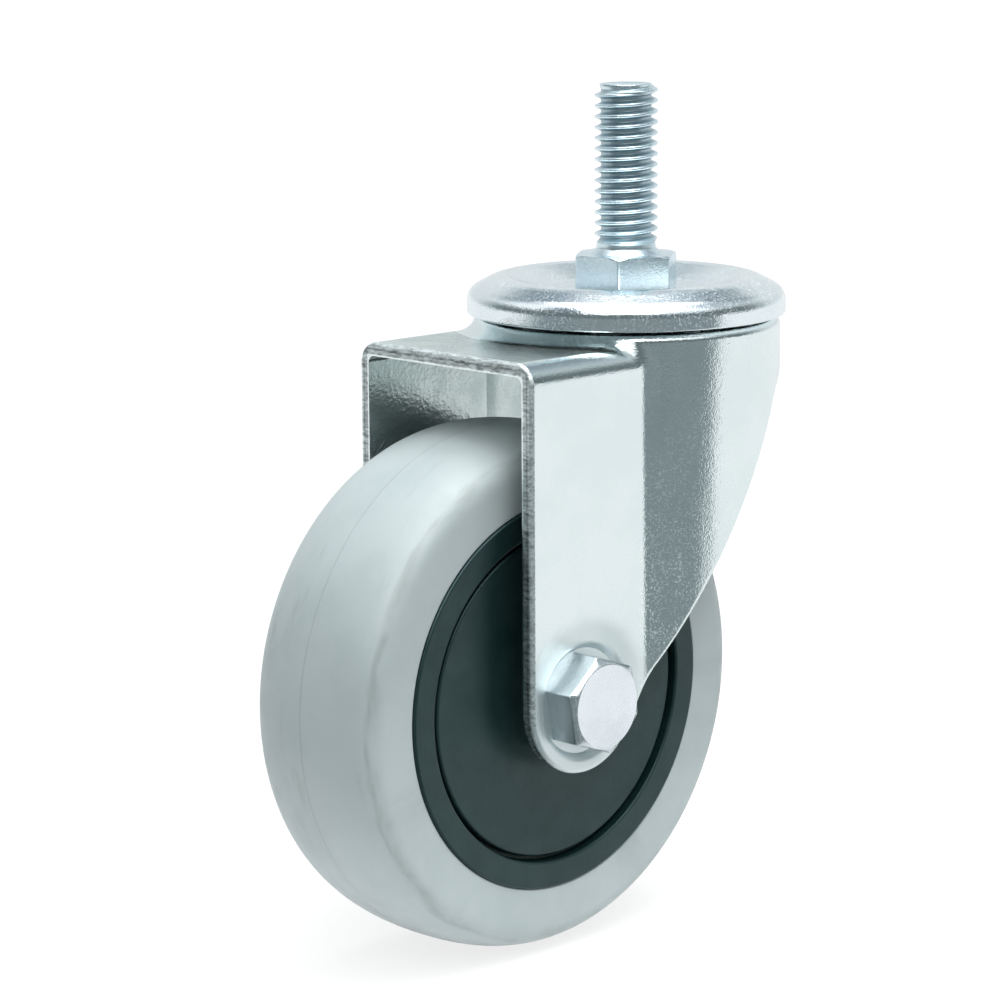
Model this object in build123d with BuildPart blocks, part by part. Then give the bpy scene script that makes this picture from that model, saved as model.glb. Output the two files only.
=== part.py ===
from build123d import *
from math import cos, pi, radians, sin, sqrt, tan
import os

# Swivel castor with a threaded stem: a forged stem with a hexagon, a dished top cover, a pressed
# steel yoke that swivels on a row of balls, and a soft-treaded wheel that runs on steel rollers.
# Lengths are millimetres and angles are degrees. The origin is the middle of the hexagon's top
# face, where a stranger's plate seats. +Z runs up the stem, the castor travels along +X, and the
# wheel trails on the -X side with its axle along Y.

os.makedirs("parts", exist_ok=True)

# Clearances
running_gap = 0.03
ball_gap = 0.03
cover_gap = 0.45
press_gap = 0.02

# Threaded stem, hexagon and the kingpin that is riveted under the keeper plate
thread_diameter = 9.525
thread_length = 25.4
thread_end_chamfer = 1.1
hexagon_flats = 14.29
hexagon_height = 5.2
hexagon_chamfer_angle = 30.0
hexagon_turn = 36.0
kingpin_diameter = 12.0
rivet_neck_diameter = 8.6
rivet_head_diameter = 14.0
rivet_head_height = 2.2

# Dished top cover, which is also the upper race of the swivel
cover_diameter = 48.0
cover_sheet = 1.8
cover_dish_depth = 2.0
cover_inner_slope = 18.0
cover_outer_slope = 28.0
cover_floor_bend = 3.0
cover_rim_bend = 2.5

# Row of balls that carries the load, and the washers that hold the yoke up from below
ball_diameter = 4.7625
ball_circle = 37.6
ball_count = 10
groove_closeness = 1.05
groove_depth = 0.6
swivel_washer_diameter = 25.0
swivel_washer_thickness = 1.6
keeper_diameter = 27.0
keeper_thickness = 2.0

# Pressed steel yoke
yoke_sheet = 2.0
yoke_drum_diameter = 46.4
yoke_width = 36.0
yoke_step = 1.9
yoke_bend_radius = 3.2
yoke_drum_edge_radius = 1.3
yoke_rear_height = 8.2
yoke_rear_slope = 58.4
yoke_rear_blend = 9.0
yoke_boss_radius = 10.7
yoke_crease_radius = 4.0
yoke_inner_crease_radius = 1.6
yoke_edge_roll = 0.7
kingpin_hole_gap = 1.4
dimple_diameter = 17.2
dimple_depth = 0.85
dimple_slope = 45.0
dimple_rim_blend = 1.2

# Where the axle lies: how far the wheel trails and how far it hangs below the seat
trail = 27.2
axle_drop = 61.3

# Axle bolt and lock nut
axle_diameter = 8.0
axle_hole_gap = 0.2
bolt_length = 45.0
bolt_flats = 13.0
bolt_head_height = 5.3
bolt_head_turn = 40.5
bolt_end_chamfer = 0.8
nut_flats = 13.0
nut_height = 8.0
nut_turn = 8.0
nut_collar_height = 2.4
nut_collar_diameter = 11.6
nut_insert_diameter = 10.0
nut_insert_width = 1.6
hexagon_face_share = 0.95

# Roller bearing of the wheel, turning on a sleeve that the bolt clamps between the legs
sleeve_wall = 2.0
roller_diameter = 3.5
roller_count = 12
roller_race_wall = 1.5
roller_end_gap = 0.1
end_washer_thickness = 1.0

# Wheel: moulded core, snap-in hub covers and moulded-on soft tread
tyre_diameter = 78.0
tyre_width = 25.0
tyre_crown_radius = 42.0
tyre_shoulder_radius = 4.5
core_rim_diameter = 57.6
core_side_step = 0.3
core_key_height = 1.6
core_key_width = 9.0
pocket_diameter = 49.6
pocket_depth = 1.9
seat_wall = 4.8
web_thickness = 4.0
barrel_wall = 2.6
rib_count = 8
rib_thickness = 2.0
hub_cover_recess = 0.6
hub_cover_sheet = 1.6
hub_cover_skirt_depth = 2.8
hub_cover_skirt_wall = 1.5
hub_cover_hole_gap = 0.4

# Levels down the swivel axis, worked out from the sizes above
cover_floor_level = -hexagon_height
crown_level = cover_floor_level + cover_dish_depth
ball_radius = ball_diameter / 2
ball_level = crown_level - cover_sheet - ball_gap - ball_radius
drum_top = ball_level - ball_radius - ball_gap + groove_depth
cover_rim_level = drum_top + cover_gap
drum_under = drum_top - yoke_sheet
shelf_top = drum_top - yoke_step
shelf_under = shelf_top - yoke_sheet
washer_top = drum_under - running_gap
keeper_top = washer_top - swivel_washer_thickness
keeper_under = keeper_top - keeper_thickness
rivet_bottom = keeper_under - rivet_head_height

# Radii about the swivel axis
kingpin_radius = kingpin_diameter / 2
rivet_neck_radius = rivet_neck_diameter / 2
cover_radius = cover_diameter / 2
groove_radius = ball_radius * groove_closeness
drum_radius = yoke_drum_diameter / 2
drum_inner_radius = drum_radius - yoke_sheet

# Places along the axle, measured outwards from the middle of the wheel
leg_outside = yoke_width / 2
leg_inside = leg_outside - yoke_sheet
dimple_floor = leg_outside - dimple_depth
pad_face = leg_inside - dimple_depth
tyre_half = tyre_width / 2
core_half = tyre_half + core_side_step
web_half = web_thickness / 2
pocket_floor = core_half - pocket_depth
cover_face = core_half - hub_cover_recess
cover_back = cover_face - hub_cover_sheet
cover_skirt_end = cover_face - hub_cover_skirt_depth
race_end = cover_back - end_washer_thickness
roller_end = race_end - roller_end_gap

# Radii about the axle
axle_radius = axle_diameter / 2
sleeve_bore = axle_radius + running_gap
sleeve_radius = sleeve_bore + sleeve_wall
roller_radius = roller_diameter / 2
roller_circle_radius = sleeve_radius + running_gap + roller_radius
race_bore = roller_circle_radius + roller_radius + running_gap
race_radius = race_bore + roller_race_wall
barrel_radius = race_radius + barrel_wall
rim_radius = core_rim_diameter / 2
pocket_radius = pocket_diameter / 2
seat_radius = rim_radius - seat_wall
hub_cover_radius = seat_radius - press_gap
tyre_radius = tyre_diameter / 2

axle_centre = (-trail, 0, -axle_drop)
axle_line = Axis(axle_centre, (0, 1, 0))

# Section plane of everything that turns on the axle: its x runs along the axle and its y outwards
axle_section = Plane(origin=axle_centre, x_dir=(0, 1, 0), z_dir=(1, 0, 0))

# Side view planes on the two legs, with x forwards or backwards and z pointing out of the leg
near_side = Plane(origin=axle_centre, x_dir=(1, 0, 0), z_dir=(0, -1, 0))
far_side = Plane(origin=axle_centre, x_dir=(-1, 0, 0), z_dir=(0, 1, 0))


def save(piece, name):
    """Label a finished piece and write it under its node's name."""
    piece.part.label = name
    export_step(piece.part, f"parts/{name}.step")


def across_corners(flats):
    """Radius of the circle through the corners of a hexagon of this size across its flats."""
    return flats / 2 / cos(pi / 6)


def round_places(count, radius):
    """Number and place of each of several like pieces spread evenly round a circle."""
    for number in range(count):
        angle = 2 * pi * number / count
        yield number + 1, radius * cos(angle), radius * sin(angle)


def axle_ring(inner, outer, start, end):
    """A plain ring about the axle, between two radii and two places along it."""
    with BuildPart() as piece:
        with BuildSketch(axle_section):
            with Locations(((start + end) / 2, (inner + outer) / 2)):
                Rectangle(end - start, outer - inner)
        revolve(axis=axle_line)
    return piece


# Stem: one forging, with its hexagon, the kingpin below it and the rivet head that closes the swivel
hexagon_corner = across_corners(hexagon_flats)
chamfer_rise = (hexagon_corner - hexagon_flats / 2) * tan(radians(hexagon_chamfer_angle))
with BuildPart() as stem:
    with BuildSketch(Plane.XZ):
        with BuildLine():
            Polyline(
                (0, rivet_bottom),
                (rivet_head_diameter / 2 - rivet_head_height / 2, rivet_bottom),
                (rivet_head_diameter / 2, keeper_under - rivet_head_height / 2),
                (rivet_head_diameter / 2, keeper_under),
                (rivet_neck_radius, keeper_under),
                (rivet_neck_radius, keeper_top),
                (kingpin_radius, keeper_top),
                (kingpin_radius, cover_floor_level),
                (hexagon_corner, cover_floor_level),
                (hexagon_corner, -chamfer_rise),
                (hexagon_flats / 2, 0),
                (thread_diameter / 2, 0),
                (thread_diameter / 2, thread_length - thread_end_chamfer),
                (thread_diameter / 2 - thread_end_chamfer, thread_length),
                (0, thread_length),
                close=True,
            )
        make_face()
    revolve(axis=Axis.Z)
    with BuildSketch(Plane.XY.offset(cover_floor_level)):
        Circle(hexagon_corner + 1)
        RegularPolygon(hexagon_corner, 6, rotation=hexagon_turn, mode=Mode.SUBTRACT)
    extrude(amount=hexagon_height, mode=Mode.SUBTRACT)
save(stem, "stem")

# Top cover: a round pressing with a flat floor under the hexagon, a raised ring over the ball row and
# a turned-down rim. Its section is the top skin of the sheet, thickened downwards.
crown_radius = groove_radius + cover_sheet
crown_circle = ball_circle / 2
inner_slope = radians(cover_inner_slope)
outer_slope = radians(cover_outer_slope)
half_turn = (inner_slope + outer_slope) / 2
half_lean = (outer_slope - inner_slope) / 2
crown_corner = crown_circle + crown_radius * sin(half_lean) / cos(half_turn)
crown_peak = crown_level + crown_radius * (cos(half_lean) / cos(half_turn) - 1)
floor_corner = crown_corner - (crown_peak - cover_floor_level) / tan(inner_slope)
rim_corner = crown_peak - (cover_radius - crown_corner) * tan(outer_slope)
with BuildPart() as top_cover:
    with BuildSketch(Plane.XZ):
        with BuildLine():
            skin = FilletPolyline(
                (kingpin_radius + press_gap, cover_floor_level),
                (floor_corner, cover_floor_level),
                (crown_corner, crown_peak),
                (cover_radius, rim_corner),
                (cover_radius, cover_rim_level),
                radius=(cover_floor_bend, crown_radius, cover_rim_bend),
            )
            offset(skin, amount=cover_sheet, side=Side.RIGHT, closed=True)
        make_face()
    revolve(axis=Axis.Z)
save(top_cover, "top_cover")

# Yoke: one sheet of steel, drawn into a drum round the swivel, folded down into two flat legs in
# front of it and trimmed along a slope behind. The hollow inside the sheet is made first, then the
# skin round it, then the side view trims the blank and the tools press in grooves and dimples.
slope = radians(yoke_rear_slope)
leg_front = -trail - yoke_boss_radius
leg_top_run = -leg_front
rear_edge = drum_top - yoke_rear_height
below_boss = -axle_drop - 2 * yoke_boss_radius
slope_foot_x = -trail + yoke_boss_radius * sin(slope)
slope_foot_z = -axle_drop - yoke_boss_radius * cos(slope)
slope_head_x = slope_foot_x + (rear_edge - slope_foot_z) / tan(slope)
dimple_radius = dimple_diameter / 2
dimple_run = dimple_depth / tan(radians(dimple_slope))
pad_radius = dimple_radius + yoke_sheet * tan(radians(dimple_slope) / 2)
axle_hole_radius = axle_radius + axle_hole_gap


def upright_edges(block, half_width):
    """Upright edges where a flat leg of this half width runs into the round drum."""
    upright = block.edges().filter_by(Axis.Z)
    return [edge for edge in upright if abs(abs(edge.center().Y) - half_width) < 0.01
            and edge.center().X > leg_front + 0.01]


def sheared_edges(block):
    """Edges all round the trimmed blank: those that the trim made, but for the seams across it."""
    made = block.edges(Select.LAST)
    across = made.filter_by(Axis.Y)
    return [edge for edge in made if edge not in across] + across.group_by(Axis.Z)[-1]


with BuildPart() as yoke_hollow:
    with BuildSketch(Plane.YZ.offset(leg_front)):
        with Locations((0, shelf_under)):
            Rectangle(2 * leg_inside, shelf_under - below_boss, align=(Align.CENTER, Align.MAX))
        fillet(vertices().group_by(Axis.Y)[-1], radius=yoke_bend_radius - yoke_sheet)
    extrude(amount=leg_top_run)
    with BuildSketch(Plane.XY.offset(below_boss)):
        Circle(drum_inner_radius)
    extrude(amount=drum_under - below_boss)
    fillet(upright_edges(yoke_hollow, leg_inside), radius=yoke_inner_crease_radius)

with BuildPart() as yoke:
    with BuildSketch(Plane.YZ.offset(leg_front)):
        with Locations((0, shelf_top)):
            Rectangle(yoke_width, shelf_top - below_boss, align=(Align.CENTER, Align.MAX))
        fillet(vertices().group_by(Axis.Y)[-1], radius=yoke_bend_radius)
    extrude(amount=leg_top_run)
    with BuildSketch(Plane.XY.offset(below_boss)):
        Circle(drum_radius)
    extrude(amount=drum_top - below_boss)
    fillet(yoke.edges().group_by(Axis.Z)[-1], radius=yoke_drum_edge_radius)
    fillet(upright_edges(yoke, leg_outside), radius=yoke_crease_radius)

    with BuildSketch(Plane.XZ):
        with BuildLine():
            Line((leg_front, drum_top + 1), (leg_front, -axle_drop))
            CenterArc((-trail, -axle_drop), yoke_boss_radius, 180, 90 + yoke_rear_slope)
            FilletPolyline(
                (slope_foot_x, slope_foot_z),
                (slope_head_x, rear_edge),
                (drum_radius + 1, rear_edge),
                radius=yoke_rear_blend,
            )
            Line((drum_radius + 1, rear_edge), (drum_radius + 1, drum_top + 1))
            Line((drum_radius + 1, drum_top + 1), (leg_front, drum_top + 1))
        make_face()
    extrude(amount=drum_radius + 1, both=True, mode=Mode.INTERSECT)
    fillet(sheared_edges(yoke), radius=yoke_edge_roll)
    add(yoke_hollow.part, mode=Mode.SUBTRACT)

    with BuildSketch(axle_section):
        with BuildLine():
            Polyline(
                (leg_inside, 0),
                (leg_inside, pad_radius),
                (pad_face, pad_radius - dimple_run),
                (pad_face, 0),
                close=True,
            )
        make_face()
        mirror(about=Plane.YZ)
    revolve(axis=axle_line)
    with BuildSketch(axle_section):
        with BuildLine():
            Polyline(
                (dimple_floor, 0),
                (dimple_floor, dimple_radius - dimple_run),
                (leg_outside, dimple_radius),
                (leg_outside + 1, dimple_radius),
                (leg_outside + 1, 0),
                close=True,
            )
        make_face()
        mirror(about=Plane.YZ)
    revolve(axis=axle_line, mode=Mode.SUBTRACT)
    rims = yoke.edges(Select.LAST).filter_by(GeomType.CIRCLE)
    fillet([rim for rim in rims if abs(rim.radius - dimple_radius) < 0.01], radius=dimple_rim_blend)
    with BuildSketch(near_side):
        Circle(axle_hole_radius)
    extrude(amount=yoke_width, both=True, mode=Mode.SUBTRACT)

    with BuildSketch(Plane.XY.offset(drum_top)):
        Circle(kingpin_radius + kingpin_hole_gap)
    extrude(amount=-2 * yoke_sheet, mode=Mode.SUBTRACT)
    with BuildSketch(Plane.XZ):
        with Locations((ball_circle / 2, drum_top - groove_depth + groove_radius)):
            Circle(groove_radius)
    revolve(axis=Axis.Z, mode=Mode.SUBTRACT)
save(yoke, "yoke")

# Swivel balls: loose steel balls that run in the yoke's groove under the cover's raised ring
for number, x, y in round_places(ball_count, ball_circle / 2):
    with BuildPart(Plane((x, y, ball_level))) as swivel_ball:
        Sphere(ball_radius)
    save(swivel_ball, f"swivel_ball_{number:02d}")


# Below the yoke's drum: a plastic washer that it slides on, and the steel plate that the rivet head
# holds against the kingpin's shoulder
with BuildPart() as swivel_washer:
    with BuildSketch(Plane.XY.offset(keeper_top)):
        Circle(swivel_washer_diameter / 2)
        Circle(kingpin_radius + running_gap, mode=Mode.SUBTRACT)
    extrude(amount=swivel_washer_thickness)
save(swivel_washer, "swivel_washer")
with BuildPart() as keeper_plate:
    with BuildSketch(Plane.XY.offset(keeper_under)):
        Circle(keeper_diameter / 2)
        Circle(rivet_neck_radius + press_gap, mode=Mode.SUBTRACT)
    extrude(amount=keeper_thickness)
save(keeper_plate, "keeper_plate")

# Axle bolt: a hexagon bolt put in from the near side, its head bedded in the dimple
bolt_corner = across_corners(bolt_flats)
bolt_face = bolt_flats / 2 * hexagon_face_share
bolt_chamfer = (bolt_corner - bolt_face) * tan(radians(hexagon_chamfer_angle))
bolt_top = -dimple_floor - bolt_head_height
bolt_end = -dimple_floor + bolt_length
with BuildPart() as axle_bolt:
    with BuildSketch(axle_section):
        with BuildLine():
            Polyline(
                (bolt_top, 0),
                (bolt_top, bolt_face),
                (bolt_top + bolt_chamfer, bolt_corner),
                (-dimple_floor, bolt_corner),
                (-dimple_floor, axle_radius),
                (bolt_end - bolt_end_chamfer, axle_radius),
                (bolt_end, axle_radius - bolt_end_chamfer),
                (bolt_end, 0),
                close=True,
            )
        make_face()
    revolve(axis=axle_line)
    with BuildSketch(near_side.offset(dimple_floor)):
        Circle(bolt_corner + 1)
        RegularPolygon(bolt_corner, 6, rotation=bolt_head_turn, mode=Mode.SUBTRACT)
    extrude(amount=bolt_head_height, mode=Mode.SUBTRACT)
save(axle_bolt, "axle_bolt")

# Lock nut: a hexagon with a round collar that grips a nylon ring
nut_corner = across_corners(nut_flats)
nut_face = nut_flats / 2 * hexagon_face_share
nut_chamfer = (nut_corner - nut_face) * tan(radians(hexagon_chamfer_angle))
nut_hexagon_end = dimple_floor + nut_height - nut_collar_height
nut_end = dimple_floor + nut_height
insert_radius = nut_insert_diameter / 2
with BuildPart() as axle_nut:
    with BuildSketch(axle_section):
        with BuildLine():
            Polyline(
                (dimple_floor, sleeve_bore),
                (dimple_floor, nut_corner),
                (nut_hexagon_end - nut_chamfer, nut_corner),
                (nut_hexagon_end, nut_face),
                (nut_hexagon_end, nut_collar_diameter / 2),
                (nut_end, nut_collar_diameter / 2),
                (nut_end, insert_radius),
                (nut_end - nut_insert_width, insert_radius),
                (nut_end - nut_insert_width, sleeve_bore),
                close=True,
            )
        make_face()
    revolve(axis=axle_line)
    with BuildSketch(far_side.offset(dimple_floor)):
        Circle(nut_corner + 1)
        RegularPolygon(nut_corner, 6, rotation=nut_turn, mode=Mode.SUBTRACT)
    extrude(amount=nut_height - nut_collar_height, mode=Mode.SUBTRACT)
save(axle_nut, "axle_nut")
save(axle_ring(sleeve_bore, insert_radius, nut_end - nut_insert_width, nut_end), "nut_insert")

# Roller bearing: the sleeve between the legs, the rollers round it, their race pressed into the core
# and a nylon washer at each end that keeps the rollers in
save(axle_ring(sleeve_bore, sleeve_radius, -pad_face, pad_face), "axle_sleeve")
save(axle_ring(race_bore, race_radius, -race_end, race_end), "roller_race")
washer_bore = sleeve_radius + running_gap
washer_rim = race_radius - press_gap
save(axle_ring(washer_bore, washer_rim, -cover_back, -race_end), "near_end_washer")
save(axle_ring(washer_bore, washer_rim, race_end, cover_back), "far_end_washer")
for number, x, z in round_places(roller_count, roller_circle_radius):
    with BuildPart() as roller:
        with BuildSketch(near_side):
            with Locations((x, z)):
                Circle(roller_radius)
        extrude(amount=roller_end, both=True)
    save(roller, f"roller_{number:02d}")

# Wheel core: one moulding with a barrel for the roller race, a web with ribs and a wide rim whose key
# locks the tread. Each side has a pocket with a step, in which the hub cover snaps.
key_half = core_key_width / 2
key_radius = rim_radius + core_key_height
with BuildPart() as wheel_core:
    with BuildSketch(axle_section):
        with BuildLine():
            Polyline(
                (0, race_radius),
                (cover_back, race_radius),
                (cover_back, barrel_radius),
                (web_half, barrel_radius),
                (web_half, seat_radius),
                (pocket_floor, seat_radius),
                (pocket_floor, pocket_radius),
                (core_half, pocket_radius),
                (core_half, rim_radius),
                (key_half, rim_radius),
                (key_half, key_radius),
                (0, key_radius),
                close=True,
            )
        make_face()
        mirror(about=Plane.YZ)
    revolve(axis=axle_line)
    with BuildSketch(near_side):
        with PolarLocations((barrel_radius + seat_radius) / 2, rib_count):
            Rectangle(seat_radius - barrel_radius + 1, rib_thickness)
    extrude(amount=cover_skirt_end, both=True)
save(wheel_core, "wheel_core")

# Hub covers: shallow moulded caps that close the core on each side and rest on its ribs
for side, way in (("near", -1), ("far", 1)):
    with BuildPart() as hub_cover:
        with BuildSketch(axle_section):
            with BuildLine():
                Polyline(
                    (way * cover_face, sleeve_radius + hub_cover_hole_gap),
                    (way * cover_face, hub_cover_radius),
                    (way * cover_skirt_end, hub_cover_radius),
                    (way * cover_skirt_end, hub_cover_radius - hub_cover_skirt_wall),
                    (way * cover_back, hub_cover_radius - hub_cover_skirt_wall),
                    (way * cover_back, sleeve_radius + hub_cover_hole_gap),
                    close=True,
                )
            make_face()
        revolve(axis=axle_line)
    save(hub_cover, f"{side}_hub_cover")

# Tread: soft rubber moulded onto the core, with a crowned running face and rounded shoulders
shoulder_level = tyre_radius - tyre_crown_radius + sqrt(tyre_crown_radius**2 - tyre_half**2)
with BuildPart() as tyre:
    with BuildSketch(axle_section):
        with BuildLine():
            ThreePointArc((-tyre_half, shoulder_level), (0, tyre_radius), (tyre_half, shoulder_level))
            Polyline(
                (tyre_half, shoulder_level),
                (tyre_half, rim_radius),
                (key_half, rim_radius),
                (key_half, key_radius),
                (-key_half, key_radius),
                (-key_half, rim_radius),
                (-tyre_half, rim_radius),
                (-tyre_half, shoulder_level),
            )
        make_face()
        shoulders = vertices().filter_by_position(Axis.Y, shoulder_level - 0.01, shoulder_level + 0.01)
        fillet(shoulders, radius=tyre_shoulder_radius)
    revolve(axis=axle_line)
save(tyre, "tyre")
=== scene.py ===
# Looks of a swivel castor: zinc-plated stem, cover and pressed yoke over a grey-treaded wheel.
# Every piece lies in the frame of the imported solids. Sizes of shapes are in millimetres, and sizes in
# materials, the floor, the studio and the camera are in metres.
import bpy
import numpy as np
from mathutils import Matrix


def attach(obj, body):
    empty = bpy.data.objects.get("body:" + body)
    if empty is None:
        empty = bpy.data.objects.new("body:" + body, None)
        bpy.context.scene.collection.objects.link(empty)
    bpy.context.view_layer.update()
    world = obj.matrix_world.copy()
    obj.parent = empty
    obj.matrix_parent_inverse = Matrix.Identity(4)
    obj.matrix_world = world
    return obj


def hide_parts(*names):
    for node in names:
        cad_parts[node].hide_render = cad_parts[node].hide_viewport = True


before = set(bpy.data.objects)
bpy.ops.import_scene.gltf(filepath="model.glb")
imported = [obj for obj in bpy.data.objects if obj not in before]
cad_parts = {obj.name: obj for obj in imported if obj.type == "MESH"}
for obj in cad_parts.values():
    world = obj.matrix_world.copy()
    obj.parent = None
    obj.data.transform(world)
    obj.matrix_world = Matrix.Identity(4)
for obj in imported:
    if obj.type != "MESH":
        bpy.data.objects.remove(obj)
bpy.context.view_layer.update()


# Stem: one steel forging with a rolled right-hand thread, a flared root, a chamfered hexagon and the
# kingpin below it, whose end is riveted over. Bright zinc plate with a bluish cast covers it.
def rounded(corners, radii, steps=6, closed=False, guard=0.12):
    """A line through these corners with each one rounded. An arc's centre lies on the corner's
    bisector, radius / sin(half the corner) away, and its ends lie radius / tan(half the corner) along
    the straights. A guard point just past each end keeps the straights looking straight."""
    corners = np.array(corners, float)
    turning = slice(None) if closed else slice(1, -1)
    here = corners[turning]
    back = np.roll(corners, 1, axis=0)[turning] - here
    ahead = np.roll(corners, -1, axis=0)[turning] - here
    back_run = np.linalg.norm(back, axis=1, keepdims=True)
    ahead_run = np.linalg.norm(ahead, axis=1, keepdims=True)
    back, ahead = back / back_run, ahead / ahead_run
    half = np.arccos(np.clip((back * ahead).sum(1, keepdims=True), -1, 1)) / 2
    radius = np.array(radii, float)[:, None]
    reach = radius / np.tan(half)
    bisector = (back + ahead) / np.linalg.norm(back + ahead, axis=1, keepdims=True)
    centre = here + bisector * radius / np.sin(half)
    start, end = here + back * reach - centre, here + ahead * reach - centre
    sweep = (np.pi - 2 * half)[:, :, None]
    step = np.linspace(0, 1, steps)[None, :, None]
    arcs = centre[:, None] + (np.sin((1 - step) * sweep) * start[:, None]
                              + np.sin(step * sweep) * end[:, None]) / np.sin(sweep)
    first = arcs[:, :1] + (back * np.minimum(guard, (back_run - reach) / 4))[:, None]
    last = arcs[:, -1:] + (ahead * np.minimum(guard, (ahead_run - reach) / 4))[:, None]
    line = np.concatenate([first, arcs, last], axis=1).reshape(-1, 2)
    return line if closed else np.vstack([corners[:1], line, corners[-1:]])


def about(axis, angle, radius, along):
    """Points round an axis: centre + along * way + radius * (cos angle * first + sin angle * second),
    for an axis given as its centre, the two directions across it and its own way."""
    centre, first, second, way = axis
    angle, radius, along = np.broadcast_arrays(angle, radius, along)
    across = np.cos(angle)[..., None] * first + np.sin(angle)[..., None] * second
    return centre + along[..., None] * way + radius[..., None] * across


def meshed(name, points, faces, body):
    """A smoothly shaded piece that rides a body, from points in metres and faces by point number."""
    mesh = bpy.data.meshes.new(name)
    mesh.from_pydata(points.tolist(), [], faces)
    mesh.shade_smooth()
    piece = bpy.data.objects.new(name, mesh)
    bpy.context.scene.collection.objects.link(piece)
    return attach(piece, body)


def skin(name, grid, body, ring=False):
    """A closed surface through a grid of points, counted along the outline and then round the axis.
    Columns always join up. Rows join up in a ring, and otherwise end in a pole at each end."""
    rows, columns, _ = grid.shape
    if ring:
        points = grid.reshape(-1, 3)
        here = np.arange(rows * columns).reshape(rows, columns)
        ahead = np.roll(here, -1, axis=0)
        caps = []
    else:
        points = np.vstack([grid[:1, 0], grid[1:-1].reshape(-1, 3), grid[-1:, 0]])
        inner = 1 + np.arange((rows - 2) * columns).reshape(rows - 2, columns)
        here, ahead = inner[:-1], inner[1:]
        low, high = inner[0], inner[-1]
        top = np.full(columns, len(points) - 1)
        caps = (np.stack([top * 0, np.roll(low, -1), low], axis=1).tolist()
                + np.stack([high, np.roll(high, -1), top], axis=1).tolist())
    beside, across = np.roll(here, -1, axis=1), np.roll(ahead, -1, axis=1)
    quads = np.stack([here, beside, across, ahead], axis=-1).reshape(-1, 4).tolist()
    return meshed(name, points * 0.001, quads + caps, body)


def hexagon(angle, flats, corner_angle, sharpness=90):
    """Distance from the axis to a hexagon's side. Each flat lies flats / 2 / cos(angle to its middle)
    away, and a high power mean of the six rounds the corners."""
    middles = np.radians(corner_angle + 30 + 60 * np.arange(6))
    nearness = np.clip(np.cos(angle[..., None] - middles), 0, None) ** sharpness
    return flats / 2 / nearness.sum(-1) ** (1 / sharpness)


def thread(angle, along, crest, pitch):
    """Radius of a right-hand thread. The phase is along / pitch less the angle in turns. From crest to
    root the radius falls by the depth, as the mean of a straight fall f and a smooth one, 3 f^2 - 2 f^3."""
    crest_half, root_half, depth = pitch / 12, pitch / 7, 0.61 * pitch
    away = np.abs((along / pitch - angle / (2 * np.pi)) % 1 - 0.5) * pitch
    fall = np.clip((away - crest_half) / (pitch / 2 - crest_half - root_half), 0, 1)
    return crest - depth * (0.5 * fall + 0.5 * fall**2 * (3 - 2 * fall))


def lesser(a, b, sharpness=150):
    """The lesser of two radii, blended where they are nearly the same by a high power mean."""
    least = np.maximum(np.minimum(a, b), 1e-6)
    return least * ((least / np.maximum(a, least)) ** sharpness
                    + (least / np.maximum(b, least)) ** sharpness) ** (-1 / sharpness)


def crowded_round(count, corner_angle, crowding=0.7):
    """Angles round an axis, crowded towards six corners: u - crowding / 6 * sin(6 (u - corner))."""
    even = np.linspace(0, 2 * np.pi, count, endpoint=False)
    return even - crowding / 6 * np.sin(6 * (even - np.radians(corner_angle)))


SWIVEL = np.array([(0, 0, 0), (1, 0, 0), (0, 1, 0), (0, 0, 1)], float)
thread_crest, thread_root, thread_pitch = 4.74, 4.42, 1.5875
thread_start, thread_run_in, thread_end = 1.4, 1.3, 24.6
stem_hex_flats, stem_hex_turn, stem_hex_under = 14.25, 36.0, -5.2
stem_angle = crowded_round(200, stem_hex_turn)[None, :]
lower = rounded(
    [(0, -17.05), (5.6, -17.0), (6.96, -15.95), (6.96, -14.86), (4.3, -14.86), (4.3, -12.87),
     (5.97, -12.87), (5.97, stem_hex_under), (8.25, stem_hex_under), (8.25, -0.4), (7.55, 0), (5.35, 0),
     (4.5, 0.85), (thread_root, 1.5)],
    [1.5, 0.8, 0.1, 0.1, 0.1, 0.1, 0.1, 0.15, 0.3, 0.25, 0.35, 0.4])
shank = np.stack([np.full(232, thread_root), np.linspace(1.55, 24.2, 232)], axis=1)
upper = rounded([(thread_crest, 24.25), (thread_crest, thread_end), (3.85, 25.38), (3.3, 25.2), (0, 25.0)],
                [0.1, 0.15, 0.3])
stem_line = np.vstack([lower, shank, upper])
radius, height = stem_line[:, :1], stem_line[:, 1:]
in_hexagon = (height > stem_hex_under - 0.1) & (height < 0.01)
in_thread = height > thread_start
rolled = thread(stem_angle, height, thread_crest, thread_pitch)
run_in = np.clip((height - thread_start) / thread_run_in, 0, 1)
rolled = thread_root + (rolled - thread_root) * run_in**2 * (3 - 2 * run_in)
end_cone = np.where(height > 24, radius, 99)
stem_radius = np.where(in_hexagon, lesser(radius, hexagon(stem_angle, stem_hex_flats, stem_hex_turn)),
                       np.where(in_thread, lesser(rolled, end_cone), radius))
stem = skin("plated_stem", about(SWIVEL, stem_angle, stem_radius, height), "stem_head")
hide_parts("stem")


def places(piece):
    """The x, y and z of every vertex, in millimetres."""
    points = np.empty(len(piece.data.vertices) * 3)
    piece.data.vertices.foreach_get("co", points)
    return points.reshape(-1, 3).T * 1000


def mark(piece, name, values, domain="POINT"):
    """Gives every vertex or face a number for the materials to read."""
    attribute = piece.data.attributes.new(name, "FLOAT", domain)
    attribute.data.foreach_set("value", values.astype(np.float32))


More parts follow.
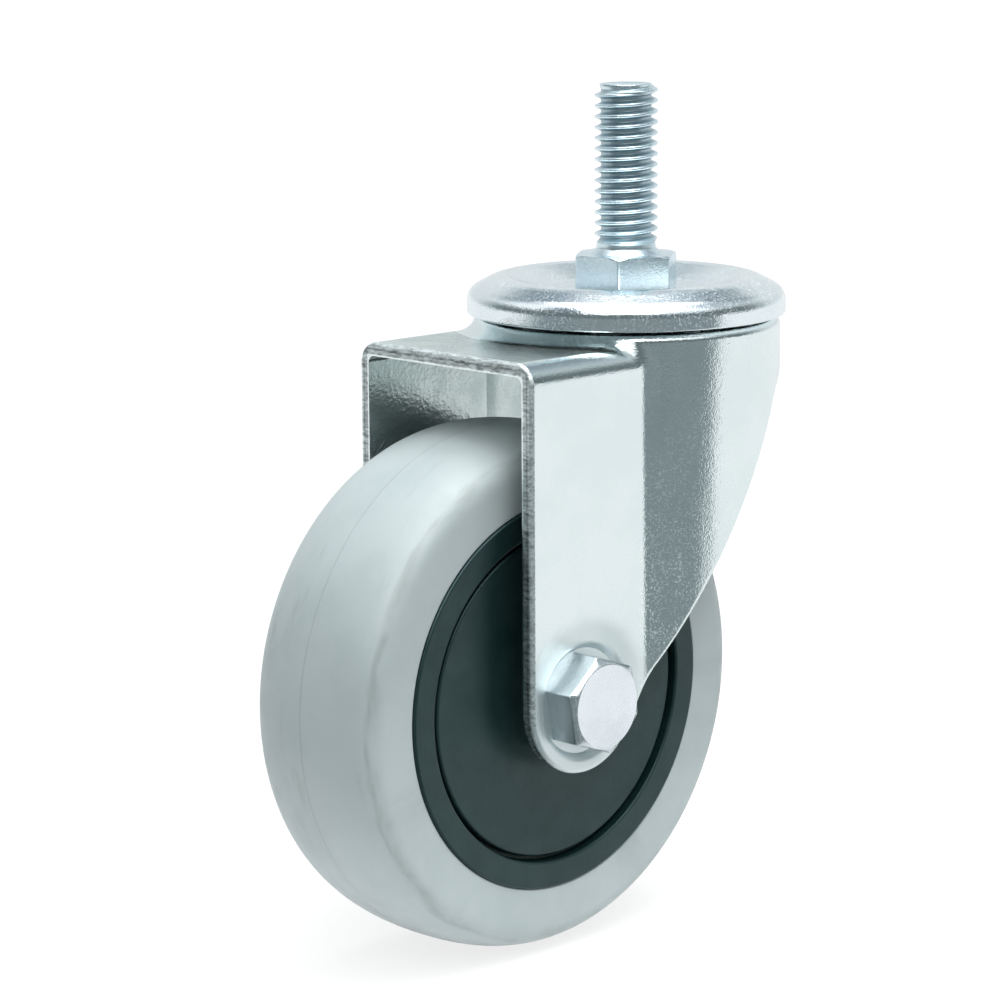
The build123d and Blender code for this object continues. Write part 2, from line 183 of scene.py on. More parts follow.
def node_group(name, inputs, outputs):
    """An empty shader group with these number inputs and their defaults, and these number outputs."""
    group = bpy.data.node_groups.new(name, "ShaderNodeTree")
    for label, default in inputs.items():
        socket = group.interface.new_socket(label, in_out="INPUT", socket_type="NodeSocketFloat")
        socket.default_value = default
    for label in outputs:
        group.interface.new_socket(label, in_out="OUTPUT", socket_type="NodeSocketFloat")
    return group, group.nodes.new("NodeGroupInput").outputs, group.nodes.new("NodeGroupOutput").inputs


def wire(tree, kind, *sources, out=0, **settings):
    """Adds a node, sets its properties, and joins or sets its inputs in order. None leaves one alone."""
    node = tree.nodes.new(kind)
    for key, value in settings.items():
        setattr(node, key, value)
    for socket, source in zip(node.inputs, sources):
        if isinstance(source, bpy.types.NodeSocket):
            tree.links.new(source, socket)
        elif source is not None:
            socket.default_value = source
    return node.outputs[out]


def maths(tree, operation, *sources):
    """A maths node on numbers or sockets."""
    return wire(tree, "ShaderNodeMath", *sources, operation=operation)


def cloud(tree, place, scale, detail=3.0, roughness=0.55):
    """A noise between 0 and 1 with this many lumps to the metre."""
    node = tree.nodes.new("ShaderNodeTexNoise")
    tree.links.new(place, node.inputs["Vector"])
    if isinstance(scale, bpy.types.NodeSocket):
        tree.links.new(scale, node.inputs["Scale"])
    else:
        node.inputs["Scale"].default_value = scale
    node.inputs["Detail"].default_value = detail
    node.inputs["Roughness"].default_value = roughness
    return node.outputs["Fac"]


def ranged(tree, value, low, high, to_low, to_high, smooth=False):
    """Carries a value from one range to another, held at both ends, straight or as a smooth step."""
    return wire(tree, "ShaderNodeMapRange", value, low, high, to_low, to_high,
                interpolation_type="SMOOTHSTEP" if smooth else "LINEAR")


def blended(tree, share, first, second, **settings):
    """A mix of two colours, each a socket or three numbers, by the second one's share."""
    node = wire(tree, "ShaderNodeMix", share, data_type="RGBA", **settings).node
    for socket, colour in zip(node.inputs[6:8], (first, second)):
        if isinstance(colour, bpy.types.NodeSocket):
            tree.links.new(colour, socket)
        else:
            socket.default_value = (*colour, 1)
    return node.outputs[2]


def marked(tree, name):
    """The numbers that mark has given to a piece under this name."""
    return wire(tree, "ShaderNodeAttribute", out=2, attribute_name=name)


def new_material(name):
    """A material with its node tree and its surface shader."""
    material = bpy.data.materials.new(name)
    material.use_nodes = True
    return material, material.node_tree, material.node_tree.nodes["Principled BSDF"]


def dented(tree, shader, height, distance):
    """Puts a height into the shader's bump, where a height of one stands this many metres out."""
    dent = tree.nodes.new("ShaderNodeBump")
    dent.inputs["Distance"].default_value = distance
    tree.links.new(height, dent.inputs["Height"])
    tree.links.new(dent.outputs["Normal"], shader.inputs["Normal"])


# Grain of plated steel: crystals of the sheet that the pressing has raised, a broader peel, matt specks
# in the plate, and slow drifts of thickness that tint it.
plating, given, gives = node_group("plating_grain", {"Grain per metre": 3000.0, "Relief": 1.0, "Specks": 1.0},
                                   ["Height", "Drift", "Metal"])
place = wire(plating, "ShaderNodeTexCoord", out=3)
crystals = cloud(plating, place, given["Grain per metre"], 1.0, 0.5)
peel = cloud(plating, place, 1100.0, 2.0, 0.5)
drift = cloud(plating, place, 90.0, 4.0, 0.6)
relief = maths(plating, "MULTIPLY", maths(plating, "ADD", maths(plating, "MULTIPLY", crystals, 1.5), peel),
               given["Relief"])
dots = ranged(plating, cloud(plating, place, 3300.0, 2.0, 0.6), 0.50, 0.66, 0.0, 1.0)
patches = ranged(plating, cloud(plating, place, 160.0, 3.0, 0.6), 0.38, 0.62, 0.25, 1.0)
specks = maths(plating, "MULTIPLY", maths(plating, "MULTIPLY", dots, patches), given["Specks"])
plating.links.new(ranged(plating, specks, 0, 1, 1.0, 0.62), gives["Metal"])
plating.links.new(relief, gives["Height"])
plating.links.new(drift, gives["Drift"])


def plated(name, light, shade, roughness, grain, bump, relief=1.0, strained=None, shaded=None):
    """Zinc plate or bare steel: a metal whose tint drifts between two colours, with the grain's relief in
    its bump. The mark named by strained raises grain and specks where the sheet has been stretched, and
    the one named by shaded paints shade on its places with the darker colour and dulls them."""
    material, tree, shader = new_material(name)
    surface = tree.nodes.new("ShaderNodeGroup")
    surface.node_tree = plating
    tree.links.new(surface.outputs["Metal"], shader.inputs["Metallic"])
    surface.inputs["Grain per metre"].default_value = grain
    surface.inputs["Relief"].default_value = relief
    if strained:
        strain = marked(tree, strained)
        tree.links.new(ranged(tree, strain, 0, 1, 0.12, relief), surface.inputs["Relief"])
        tree.links.new(ranged(tree, strain, 0, 1, 0.2, 1.0), surface.inputs["Specks"])
    drift = surface.outputs["Drift"]
    shading = ranged(tree, drift, 0.35, 0.65, 0.0, 0.35 if shaded else 1.0, True)
    finish = ranged(tree, drift, 0.3, 0.7, roughness - 0.04, roughness + 0.05)
    if shaded:
        in_shade = marked(tree, shaded)
        shading = maths(tree, "MAXIMUM", shading, in_shade)
        finish = maths(tree, "ADD", finish, maths(tree, "MULTIPLY", in_shade, 0.12))
    tree.links.new(blended(tree, shading, light, shade), shader.inputs["Base Color"])
    tree.links.new(finish, shader.inputs["Roughness"])
    dented(tree, shader, surface.outputs["Height"], bump)
    return material


# Painted shade: from just under the crest down, the thread's root takes the darker colour for the shade
# between the crests, and a duller finish.
x, y, z = places(stem)
below_crest = np.clip((thread_crest - 0.09 - np.hypot(x, y)) / 0.6, 0, 1)
mark(stem, "thread_root", below_crest * np.clip((z - 1.0) / 0.8, 0, 1) * (z < thread_end))
stem_zinc = plated("stem_zinc", (0.80, 0.92, 0.97), (0.45, 0.56, 0.61), roughness=0.25, grain=3500,
                   bump=0.000012, shaded="thread_root")
stem.data.materials.append(stem_zinc)


# Top cover: a round steel pressing, dished under the hexagon and raised over the ball row, with its rim
# turned down. Bright zinc plate over a fine orange-peel grain covers it.
def sheet_loop(corners, radii, thickness, edge):
    """Outline of a bent sheet: the skin's corners, then the same corners moved one thickness across it.
    A corner moves by the sum of its two straights' normals / (1 + their product), and its radius
    shrinks or grows by the thickness."""
    corners = np.array(corners, float)
    runs = np.diff(corners, axis=0)
    runs /= np.linalg.norm(runs, axis=1, keepdims=True)
    across = np.stack([runs[:, 1], -runs[:, 0]], axis=1)
    before, after = np.vstack([across[:1], across]), np.vstack([across, across[-1:]])
    moved = corners + thickness * (before + after) / (1 + (before * after).sum(1, keepdims=True))
    turn = runs[:-1, 0] * runs[1:, 1] - runs[:-1, 1] * runs[1:, 0]
    inner_radii = np.array(radii) + thickness * np.sign(turn)
    loop = np.vstack([corners, moved[::-1]])
    return rounded(loop, [edge, *radii, edge, edge, *inner_radii[::-1], edge], closed=True)


def turned(name, line, axis, body, around=192, ring=True):
    """A surface of revolution: an outline of radius and place along the axis, carried round it. The
    outline is turned about if its signed area says that it would face inwards."""
    if ring:
        area = (line[:, 0] * np.roll(line[:, 1], -1) - np.roll(line[:, 0], -1) * line[:, 1]).sum()
        line = line if area > 0 else line[::-1]
    angle = np.linspace(0, 2 * np.pi, around, endpoint=False)[None, :]
    return skin(name, about(axis, angle, line[:, :1], line[:, 1:]), body, ring=ring)


cover_skin = [(6.02, stem_hex_under), (11.963, stem_hex_under), (19.207, -2.846), (24.0, -5.395),
              (24.0, -8.772)]
cover_line = sheet_loop(cover_skin, [3.0, 4.3, 2.5], thickness=1.8, edge=0.25)
cover = turned("dished_cover", cover_line, SWIVEL, "stem_head", 256)
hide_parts("top_cover")
cover_zinc = plated("cover_zinc", (0.85, 0.91, 0.93), (0.79, 0.87, 0.92), roughness=0.10, grain=4000,
                    bump=0.000019)
cover.data.materials.append(cover_zinc)


# Yoke: one steel pressing. A drum holds the swivel, two flat legs are folded down from the shelf in
# front of it, and a sunk dimple stiffens each leg round the axle. Sheared edges show all round it.
def merged(name, node, body):
    """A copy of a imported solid's mesh with its loose triangles joined: points that round to the same
    ten-thousandth of a millimetre become one."""
    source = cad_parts[node].data
    points = np.empty(len(source.vertices) * 3)
    source.vertices.foreach_get("co", points)
    corners = np.empty(len(source.loops), np.int32)
    source.loops.foreach_get("vertex_index", corners)
    points = points.reshape(-1, 3)
    rounded_off = np.round(points * 1e7).astype(np.int64)
    _, first, same = np.unique(rounded_off, axis=0, return_index=True, return_inverse=True)
    faces = same.reshape(-1)[corners].reshape(-1, 3)
    faces = faces[(faces[:, 0] != faces[:, 1]) & (faces[:, 1] != faces[:, 2]) & (faces[:, 2] != faces[:, 0])]
    return meshed(name, points[first], faces.tolist(), body)


yoke = merged("pressed_yoke", "yoke", "yoke")
yoke.data.set_sharp_from_angle(angle=np.radians(25))
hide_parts("yoke")
AXLE = np.array([(-27.2, 0, -61.3), (0, 0, 1), (1, 0, 0), (0, 1, 0)], float)
leg_inside, drum_inside, shelf_underside, sheet = 16, 21.2, -13.122, 2


def from_axle(x, z):
    """Distance from the axle's middle line in the side view."""
    return np.hypot(x - AXLE[0, 0], z - AXLE[0, 2])


def band(mesh):
    """Marks a pressed sheet's triangles. The trim is the front edges, and every wall across the sheet
    that looks down and not sideways, except round the axle hole. The inside is what lies between the
    legs or in the drum and looks up, down or towards the middle. Returns these two masks and one for
    the triangles that no tool has bent."""
    centre = np.empty(len(mesh.polygons) * 3)
    mesh.polygons.foreach_get("center", centre)
    facing = np.empty(len(mesh.polygons) * 3)
    mesh.polygons.foreach_get("normal", facing)
    x, y, z = centre.reshape(-1, 3).T * 1000
    forward, sideways, upward = facing.reshape(-1, 3).T
    front_edge = (x < -37.25) & (forward < -0.2)
    lower_edge = (np.abs(sideways) < 0.02) & (upward < -0.05) & (z < -13.5) & (from_axle(x, z) > 9)
    trimmed = front_edge | lower_edge
    between = ((np.abs(y) < leg_inside + 0.9) & (x < 0)) | (np.hypot(x, y) < drum_inside + 0.8)
    inward = y * sideways + x * forward - np.abs(upward) < 0
    flat = np.abs([forward, sideways, upward]).max(axis=0) > 0.9995
    return trimmed, between & (z < -11.1) & ~trimmed & inward, flat


# The outside has the first material, the trim the second and the inside the third. Through is a
# point's way through the sheet, from 0 on its inner face to 1 on its outer one.
trimmed, inside, flat = band(yoke.data)
yoke.data.polygons.foreach_set("material_index", trimmed + 2 * inside)
mark(yoke, "stretched", ~flat, "FACE")
x, y, z = places(yoke)
from_leg = np.maximum(np.abs(y) - leg_inside, z - shelf_underside) + 100 * np.maximum(x, 0)
mark(yoke, "through", np.minimum(from_leg, np.hypot(x, y) - drum_inside) / sheet)
yoke_zinc = plated("yoke_zinc", (0.84, 0.91, 0.915), (0.80, 0.88, 0.88), roughness=0.09, grain=4000,
                   bump=0.000022, strained="stretched")
yoke.data.materials.append(yoke_zinc)

# The plate is more specked lower down the drum, and the dimples' stamp has left it dull round the axle.
tree = yoke_zinc.node_tree
shader = tree.nodes["Principled BSDF"]
place = wire(tree, "ShaderNodeTexCoord", out=3)
height = wire(tree, "ShaderNodeSeparateXYZ", place).node.outputs[2]
specks = shader.inputs["Metallic"].links[0].from_node.inputs["Specks"]
lower_down = ranged(tree, height, -0.025, -0.045, 0.25, 1.1)
tree.links.new(maths(tree, "MULTIPLY", specks.links[0].from_socket, lower_down), specks)
flatwise = wire(tree, "ShaderNodeVectorMath", place, (1, 0, 1), operation="MULTIPLY")
off_axle = wire(tree, "ShaderNodeVectorMath", flatwise, tuple(AXLE[0] / 1000), out=1, operation="DISTANCE")
finish = shader.inputs["Roughness"].links[0].from_socket
dulled = ranged(tree, off_axle, 0.0105, 0.0145, 0.34, 0, True)
tree.links.new(maths(tree, "ADD", finish, dulled), shader.inputs["Roughness"])

# The sheared band is torn grey steel under thin plate, with streaks that run through the sheet. The
# bright line on its inner edge is a painted highlight for the light that its burr catches, the dark line
# across its middle is painted shade, and the lighter outer part is a painted highlight on the rounded
# outer edge.
sheared, tree, shader = new_material("sheared_edge")
shader.inputs["Metallic"].default_value = 1.0
through = marked(tree, "through")
place = wire(tree, "ShaderNodeTexCoord", out=3)
along = wire(tree, "ShaderNodeVectorMath", place, (1, 0.25, 1), operation="MULTIPLY")
streak = cloud(tree, along, 2600.0, 3.0, 0.7)
blotch = cloud(tree, place, 900.0, 3.0, 0.6)
wander = maths(tree, "ADD", through, maths(tree, "MULTIPLY", maths(tree, "SUBTRACT", blotch, 0.5), 0.25))
burr_highlight = ranged(tree, wander, 0.09, 0.17, 1.0, 0.0, True)
middle_shade = maths(tree, "MULTIPLY", ranged(tree, wander, 0.40, 0.47, 0.0, 1.0, True),
             ranged(tree, wander, 0.52, 0.60, 1.0, 0.0, True))
grey = maths(tree, "ADD", ranged(tree, streak, 0.35, 0.65, 0.27, 0.86), maths(tree, "MULTIPLY", middle_shade, -0.2))
grey = maths(tree, "ADD", grey, ranged(tree, wander, 0.60, 0.72, 0.0, 0.22, True))
grey = maths(tree, "ADD", grey, maths(tree, "MULTIPLY", burr_highlight, 0.5))
tree.links.new(blended(tree, grey, (0.0, 0.005, 0.005), (0.93, 1.0, 1.0)), shader.inputs["Base Color"])
tree.links.new(ranged(tree, burr_highlight, 0, 1, 0.48, 0.25), shader.inputs["Roughness"])
dented(tree, shader, streak, 0.00005)
yoke.data.materials.append(sheared)
# The inside takes a darker, duller zinc: partly for the thinner plate there, and partly as painted shade
# between the legs and in the drum.
inside_zinc = plated("yoke_inside", (0.62, 0.70, 0.69), (0.50, 0.58, 0.57), roughness=0.24, grain=1500,
                     bump=0.00003)
yoke.data.materials.append(inside_zinc)

# Inside the swivel and the wheel's bearing: hardened balls and rollers, a drawn sleeve and race, the
# keeper plate, and washers and nut ring of natural nylon. They keep the solids' shapes and get their
# own finishes.
bare_steel = plated("bearing_steel", (0.62, 0.62, 0.62), (0.56, 0.56, 0.55), roughness=0.12, grain=3000,
                    bump=0.00001, relief=0.2)
drawn_steel = plated("drawn_steel", (0.58, 0.57, 0.56), (0.50, 0.49, 0.48), roughness=0.3, grain=1500,
                     bump=0.00003, relief=0.6)


def moulded(name, colour, worn, roughness, grain, bump, sheen=(1, 1, 1), mirror=0.5, bloom=0.0):
    """A moulded plastic or rubber: its colour drifts a little, and a fine grain is in its bump. The
    sheen tints what it mirrors, and a bloom lightens it where it turns away."""
    material, tree, shader = new_material(name)
    shader.inputs["Specular Tint"].default_value = (*sheen, 1)
    shader.inputs["Specular IOR Level"].default_value = mirror
    shader.inputs["Sheen Weight"].default_value = bloom
    shader.inputs["Sheen Roughness"].default_value = 0.4
    place = wire(tree, "ShaderNodeTexCoord", out=3)
    wear = ranged(tree, cloud(tree, place, 120.0, 4.0), 0.4, 0.7, 0.0, 1.0, True)
    tree.links.new(blended(tree, wear, colour, worn), shader.inputs["Base Color"])
    tree.links.new(ranged(tree, cloud(tree, place, 300.0, 5.0), 0.3, 0.7, roughness - 0.06, roughness + 0.08),
                   shader.inputs["Roughness"])
    dented(tree, shader, cloud(tree, place, grain, 3.0, 0.6), bump)
    return material


nylon = moulded("natural_nylon", (0.74, 0.72, 0.64), (0.70, 0.67, 0.58), roughness=0.4, grain=2500,
                bump=0.00002)
for finish, starts in ((bare_steel, ("swivel_ball", "roller_0", "roller_1")),
                       (drawn_steel, ("roller_race", "axle_sleeve", "keeper_plate")),
                       (nylon, ("swivel_washer", "near_end_washer", "far_end_washer", "nut_insert"))):
    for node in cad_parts.values():
        if node.name.startswith(starts):
            node.data.materials.clear()
            node.data.materials.append(finish)

# Axle bolt: an 8 mm hexagon bolt put in from the near side, its head bedded in the leg's dimple, and
# the rolled thread of its end standing out of the lock nut on the far side.
fastener_flats, hex_sharpness = 12.95, 110
bolt_crest, bolt_pitch, bolt_turn, thread_from, bearing_face = 3.98, 1.25, 49.5, 18.0, 17.16
bolt_angle = crowded_round(200, bolt_turn)[None, :]
bolt_line = rounded(
    [(0, -22.45), (6.1, -22.45), (7.5, -21.64), (7.5, -bearing_face), (bolt_crest, -bearing_face),
     (bolt_crest, 14.0), (bolt_crest, thread_from)],
    [0.25, 0.3, 0.15, 0.2, 0.3])
bolt_shank = np.stack([np.full(80, bolt_crest), np.linspace(18.1, 27.0, 80)], axis=1)
bolt_end = rounded([(bolt_crest, 27.02), (bolt_crest, 27.05), (3.2, 27.85), (0, 27.85)], [0.02, 0.15])
bolt_line = np.vstack([bolt_line, bolt_shank, bolt_end])
radius, place_along = bolt_line[:, :1], bolt_line[:, 1:]
on_head = place_along < -bearing_face + 0.06
on_thread = place_along > thread_from
bolt_hex = lesser(radius, hexagon(bolt_angle, fastener_flats, bolt_turn, hex_sharpness))
bolt_thread = lesser(radius, thread(bolt_angle, place_along, bolt_crest, bolt_pitch))
bolt_radius = np.where(on_head, bolt_hex, np.where(on_thread, bolt_thread, radius))
bolt = skin("axle_bolt_plated", about(AXLE, bolt_angle, bolt_radius, place_along), "yoke")
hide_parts("axle_bolt")
x, y, z = places(bolt)
head_face = 6.2
# Painted shade: the head's six sides take the darker colour, so that they look turned from the light, and a
# duller finish.
mark(bolt, "head_side_shade", np.clip((from_axle(x, z) - head_face) / 0.15, 0, 1))
fastener_zinc = plated("fastener_zinc", (0.86, 0.91, 0.95), (0.60, 0.66, 0.69), roughness=0.21, grain=2600,
                       bump=0.000014, shaded="head_side_shade")
bolt.data.materials.append(fastener_zinc)

# Lock nut: a cold-formed hexagon with a round collar that is turned in over its nylon ring. It draws
# the bolt, both legs and the sleeve together, and is plated like the bolt.
nut_turn, nut_bore, nut_shoulder = 38.0, 4.03, 22.72
nut_angle = crowded_round(200, nut_turn)[None, :]
nut_line = rounded(
    [(nut_bore, bearing_face), (7.5, bearing_face), (7.5, 21.9), (6.2, nut_shoulder), (5.8, 22.75),
     (5.8, 25.13), (5.0, 25.13), (5.0, 23.55), (nut_bore, 23.55)],
    [0.1, 0.3, 0.3, 0.1, 0.25, 0.6, 0.1, 0.05, 0.05], closed=True)
radius, place_along = nut_line[:, :1], nut_line[:, 1:]
nut_hex = lesser(radius, hexagon(nut_angle, fastener_flats, nut_turn, hex_sharpness))
nut_radius = np.where((place_along < nut_shoulder) & (radius > 5.5), nut_hex, radius)
nut = skin("lock_nut_plated", about(AXLE, nut_angle, nut_radius, place_along), "yoke", ring=True)
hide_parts("axle_nut")
nut.data.materials.append(fastener_zinc)

# Wheel core: a black moulding whose rim face and stepped pocket show round the hub cover. The tyre is
# keyed over its raised middle, and its barrel holds the roller race.
black = moulded("black_moulding", (0.004, 0.015, 0.015), (0.006, 0.019, 0.019), roughness=0.38, grain=1600,
                bump=0.00003, sheen=(0.74, 1.0, 1.0), mirror=0.62)
core_half_line = [(30.4, 4.5), (28.8, 4.5), (28.8, 12.8), (24.8, 12.8), (24.8, 10.9), (24.0, 10.9),
                  (24.0, 2.0), (13.7, 2.0), (13.7, 10.6), (11.1, 10.6)]
core_line = core_half_line + [(radius, -along) for radius, along in reversed(core_half_line)]
core_line = rounded(core_line, [0.35] * len(core_line), closed=True)
core = turned("wheel_core_black", core_line, AXLE, "wheel", 256)
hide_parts("wheel_core")
core.data.materials.append(black)

# Hub covers: black moulded caps, one to a side, that snap into the core's pockets and rest on its ribs.
# Each has a hole that clears the axle sleeve.
cap_corners = [(6.43, 12.2), (23.97, 12.2), (23.97, 9.41), (22.49, 9.41), (22.49, 10.61), (6.43, 10.61)]
for side, way in (("near", -1), ("far", 1)):
    cap_line = rounded([(radius, way * along) for radius, along in cap_corners],
                       [0.2, 0.4, 0.1, 0.1, 0.1, 0.1], closed=True)
    cap = turned(f"{side}_hub_cap", cap_line, AXLE, "wheel", 256)
    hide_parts(f"{side}_hub_cover")
    cap.data.materials.append(black)

# Tyre: soft grey rubber moulded onto the core, crowned across and rounded into its sides. Across the
# tread the radius is foot + rise * (1 - |place| ^ flatness) ^ (1 / fullness), place running from -1 to 1.
tyre_half, side_radius, key_half, key_radius = 12.48, 28.82, 4.52, 30.42
crown_foot, crown_rise, flatness, fullness = 33.6, 5.38, 2.254, 2.974
across = np.sin(np.linspace(-1, 1, 97) * np.pi / 2)
crown = crown_foot + crown_rise * (1 - np.abs(across) ** flatness) ** (1 / fullness)
tread = np.stack([crown, across * tyre_half], axis=1)
bore = [(33.0, tyre_half), (side_radius, tyre_half), (side_radius, key_half), (key_radius, key_half),
        (key_radius, -key_half), (side_radius, -key_half), (side_radius, -tyre_half), (33.0, -tyre_half)]
tyre_line = np.vstack([tread, rounded(bore, [0.3] * 6)])
tyre = turned("soft_tread", tyre_line, AXLE, "wheel", 320)
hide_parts("tyre")
rubber = moulded("grey_rubber", (0.355, 0.405, 0.41), (0.33, 0.38, 0.385), roughness=0.42, grain=900,
                 bump=0.00002, mirror=0.75, bloom=0.12)
tyre.data.materials.append(rubber)

# The mould's halves left a fine line round the middle of the tread, a wavy dark line along each
# shoulder is painted shade where the tread turns into the side, and use has left faint scuffs.
tree = rubber.node_tree
shader = tree.nodes["Principled BSDF"]
parts = wire(tree, "ShaderNodeSeparateXYZ", wire(tree, "ShaderNodeTexCoord", out=3)).node.outputs
ahead, upwards = (maths(tree, "SUBTRACT", parts[n], AXLE[0, n] / 1000) for n in (0, 2))
sideways = parts[1]
off_middle = maths(tree, "ABSOLUTE", sideways)
mould_line = ranged(tree, off_middle, 0.00006, 0.0002, 1.0, 0.0, True)
round_wheel = maths(tree, "MULTIPLY", maths(tree, "ARCTAN2", ahead, upwards), 0.008)
unrolled = wire(tree, "ShaderNodeCombineXYZ", round_wheel, sideways, maths(tree, "MULTIPLY", upwards, 0.1))
waviness = ranged(tree, cloud(tree, unrolled, 500.0, 2.0), 0.3, 0.7, 0.0112, 0.0121)
off_shoulder = maths(tree, "ABSOLUTE", maths(tree, "SUBTRACT", off_middle, waviness))
shoulder_shade = maths(tree, "MULTIPLY", ranged(tree, off_shoulder, 0.0001, 0.0007, 0.45, 0.0, True),
             ranged(tree, cloud(tree, unrolled, 700.0, 3.0), 0.35, 0.6, 0.2, 1.0, True))
rubbed = ranged(tree, cloud(tree, unrolled, 420.0, 4.0, 0.65), 0.55, 0.72, 0.0, 0.35, True)
in_patches = ranged(tree, cloud(tree, unrolled, 90.0, 2.0), 0.45, 0.6, 0.0, 1.0, True)
scuffs = maths(tree, "MULTIPLY", rubbed, in_patches)
marks = maths(tree, "MAXIMUM", maths(tree, "MULTIPLY", mould_line, 0.3), maths(tree, "MAXIMUM", shoulder_shade, scuffs))
clean = shader.inputs["Base Color"].links[0].from_socket
scuffed_and_shaded = blended(tree, marks, clean, (0.60, 0.585, 0.55), blend_type="MULTIPLY")
tree.links.new(scuffed_and_shaded, shader.inputs["Base Color"])
dent = shader.inputs["Normal"].links[0].from_node
grain = dent.inputs["Height"].links[0].from_socket
tree.links.new(maths(tree, "ADD", grain, maths(tree, "MULTIPLY", mould_line, 2.0)), dent.inputs["Height"])

# Floor: a wide pale sheet under the wheel. The camera sees it nearly white, with the shadow left in, and
# only the part near the castor throws much light back at it.
floor_reach, floor_height = 6, -0.1004
floor_signs = ((-1, -1), (1, -1), (1, 1), (-1, 1))
floor_corners = [(x * floor_reach, y * floor_reach, floor_height) for x, y in floor_signs]
floor_mesh = bpy.data.meshes.new("pale_floor")
floor_mesh.from_pydata(floor_corners, [], [(0, 1, 2, 3)])
floor = bpy.data.objects.new("pale_floor", floor_mesh)
bpy.context.scene.collection.objects.link(floor)
floor_material, tree, matt = new_material("pale_floor")
matt.inputs["Roughness"].default_value = 0.9
by_camera = wire(tree, "ShaderNodeLightPath")
place = wire(tree, "ShaderNodeTexCoord", out=3)
far_out = wire(tree, "ShaderNodeVectorMath", place, (-0.03, 0, floor_height), out=1, operation="DISTANCE")
pale = maths(tree, "MAXIMUM", ranged(tree, far_out, 0.05, 0.12, 1, 0, True), by_camera)
tree.links.new(blended(tree, pale, (0.2, 0.2, 0.2), (0.95, 0.95, 0.95)), matt.inputs["Base Color"])
glow = wire(tree, "ShaderNodeEmission", (1, 1, 1, 1))
surface = wire(tree, "ShaderNodeMixShader", maths(tree, "MULTIPLY", by_camera, 0.8), matt.outputs[0], glow)
tree.links.new(surface, tree.nodes["Material Output"].inputs["Surface"])
floor_mesh.materials.append(floor_material)
floor.visible_glossy = False

# Studio: a white surround for the camera. What the metal mirrors is a pale table with a dark part on
# the camera's side, a backdrop that dims upwards, a light box high up to either side, one strip box
# overhead, and dim walls between them.
world = bpy.data.worlds.new("studio")
bpy.context.scene.world = world
world.use_nodes = True
tree = world.node_tree
sky = tree.nodes["Background"]


def fade(angle, start, end, before, after):
    """A smooth change from one value to another between two angles in degrees."""
    return ranged(tree, angle, np.radians(start), np.radians(end), before, after, True)


# Rise is the angle above the horizon. Swing is the angle round the castor from the camera's side.
direction = wire(tree, "ShaderNodeTexCoord", out=0)
rise = maths(tree, "ARCSINE", wire(tree, "ShaderNodeSeparateXYZ", direction).node.outputs[2])
to_camera_side = np.radians(138)
turned_round = wire(tree, "ShaderNodeVectorRotate", direction, (0, 0, 0), (0, 0, 1), to_camera_side,
                    rotation_type="Z_AXIS")
ahead, sideways, upwards = wire(tree, "ShaderNodeSeparateXYZ", turned_round).node.outputs
swing = maths(tree, "ARCTAN2", sideways, ahead)
dark_side = maths(tree, "MULTIPLY", fade(swing, -85, -60, 0, 1), fade(swing, 70, 75, 1, 0))
table = ranged(tree, dark_side, 0, 1, 0.93, 0.27)
behind = fade(maths(tree, "ABSOLUTE", swing), 95, 140, 0, 1)
backdrop = fade(rise, 28, 43, 0.77, 0.31)
boxes = maths(tree, "ADD", fade(swing, -75, -60, 0.85, 0.03), fade(swing, 22, 36, 0, 1.05))
boxes = maths(tree, "ADD", boxes, fade(swing, 68, 80, 0, -0.7))
front = maths(tree, "ADD", maths(tree, "MULTIPLY", fade(rise, 18, 38, 0, 1), boxes), 0.17)
walls = maths(tree, "ADD", front, maths(tree, "MULTIPLY", behind, maths(tree, "SUBTRACT", backdrop, front)))
above = fade(rise, -1, 6, 0, 1)
level = maths(tree, "ADD", table, maths(tree, "MULTIPLY", above, maths(tree, "SUBTRACT", walls, table)))

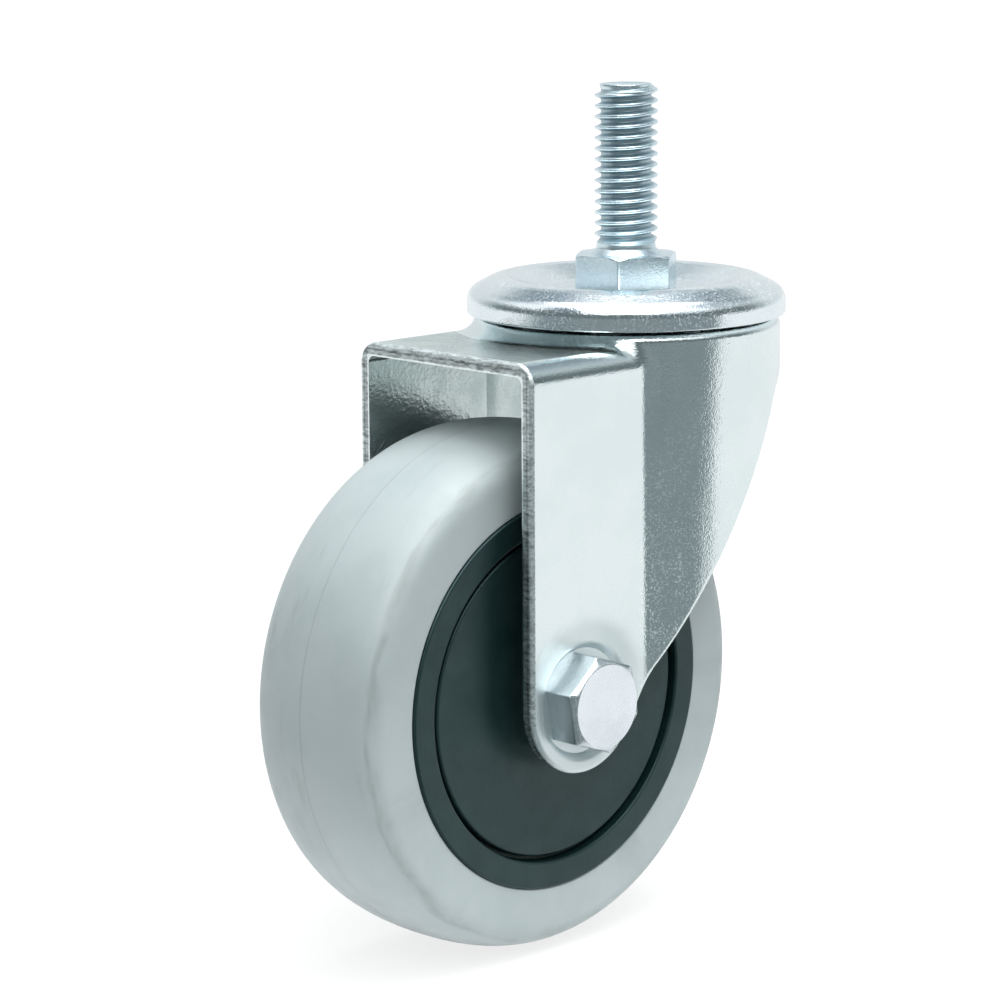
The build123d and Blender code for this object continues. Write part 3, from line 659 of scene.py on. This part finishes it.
# The strip box hangs overhead and reaches down towards the camera, with a weaker spill below its far
# edge. Over is the angle from straight up towards the camera, and beside the one out to either side.
over = maths(tree, "ARCTAN2", ahead, upwards)
beside = maths(tree, "ABSOLUTE", maths(tree, "ARCSINE", sideways))
box = maths(tree, "MULTIPLY", fade(over, -27, -14, 0, 1), fade(over, 55, 65, 1, 0))
level = maths(tree, "ADD", level, maths(tree, "MULTIPLY", box, fade(beside, 16, 30, 3.2, 0)))
spill = maths(tree, "MULTIPLY", fade(over, -52, -44, 0, 1), fade(over, -10, 0, 0.38, 0))
level = maths(tree, "ADD", level, maths(tree, "MULTIPLY", spill, fade(beside, 8, 15, 1, 0)))
high_up = ranged(tree, rise, np.radians(30), np.radians(50), 0, 1)
cold = blended(tree, high_up, (0.83, 1.0, 1.04), (0.80, 1.0, 1.17))
tint = blended(tree, ranged(tree, level, 0.2, 0.9, 0, 1), cold, (0.98, 1.0, 1.01))
by_camera = wire(tree, "ShaderNodeLightPath")
tree.links.new(blended(tree, by_camera, tint, (1, 1, 1)), sky.inputs["Color"])
tree.links.new(maths(tree, "MAXIMUM", level, by_camera), sky.inputs["Strength"])

# Lamp: one square soft box above the near side, turned to face the castor. Nothing mirrors it, because
# the studio's strip box stands for it there.
lamp_data = bpy.data.lights.new("top_box", "AREA")
lamp_data.shape, lamp_data.size, lamp_data.energy = "SQUARE", 0.5, 3.8
lamp = bpy.data.objects.new("top_box", lamp_data)
bpy.context.scene.collection.objects.link(lamp)
lamp_place, lamp_aim = np.array([(40, -220, 600), (-20, 0, -50)], float)
back = (lamp_place - lamp_aim) / np.linalg.norm(lamp_place - lamp_aim)
right = np.cross((0, 0, 1), back)
right /= np.linalg.norm(right)
turn = np.eye(4)
turn[:3] = np.stack([right, np.cross(back, right), back, lamp_place * 0.001], axis=1)
lamp.matrix_world = Matrix(turn.tolist())
lamp.visible_glossy = False

# Camera: long lens, a little above the castor and turned to its near front quarter. Its place is the one
# that brings the castor's edges onto those of the photograph.
camera_data = bpy.data.cameras.new("camera")
camera_data.lens, camera_data.sensor_width = 124.2, 36
camera_data.clip_start, camera_data.clip_end = 0.05, 50
camera = bpy.data.objects.new("camera", camera_data)
bpy.context.scene.collection.objects.link(camera)
camera.matrix_world = Matrix(((0.71720, 0.13494, -0.68367, -0.37306), (-0.69684, 0.13057, -0.70524, -0.35729),
                              (-0.00590, 0.98221, 0.18768, 0.06092), (0, 0, 0, 1)))
bpy.context.scene.camera = camera
bpy.context.scene.view_settings.view_transform = "Standard"

bpy.context.view_layer.update()
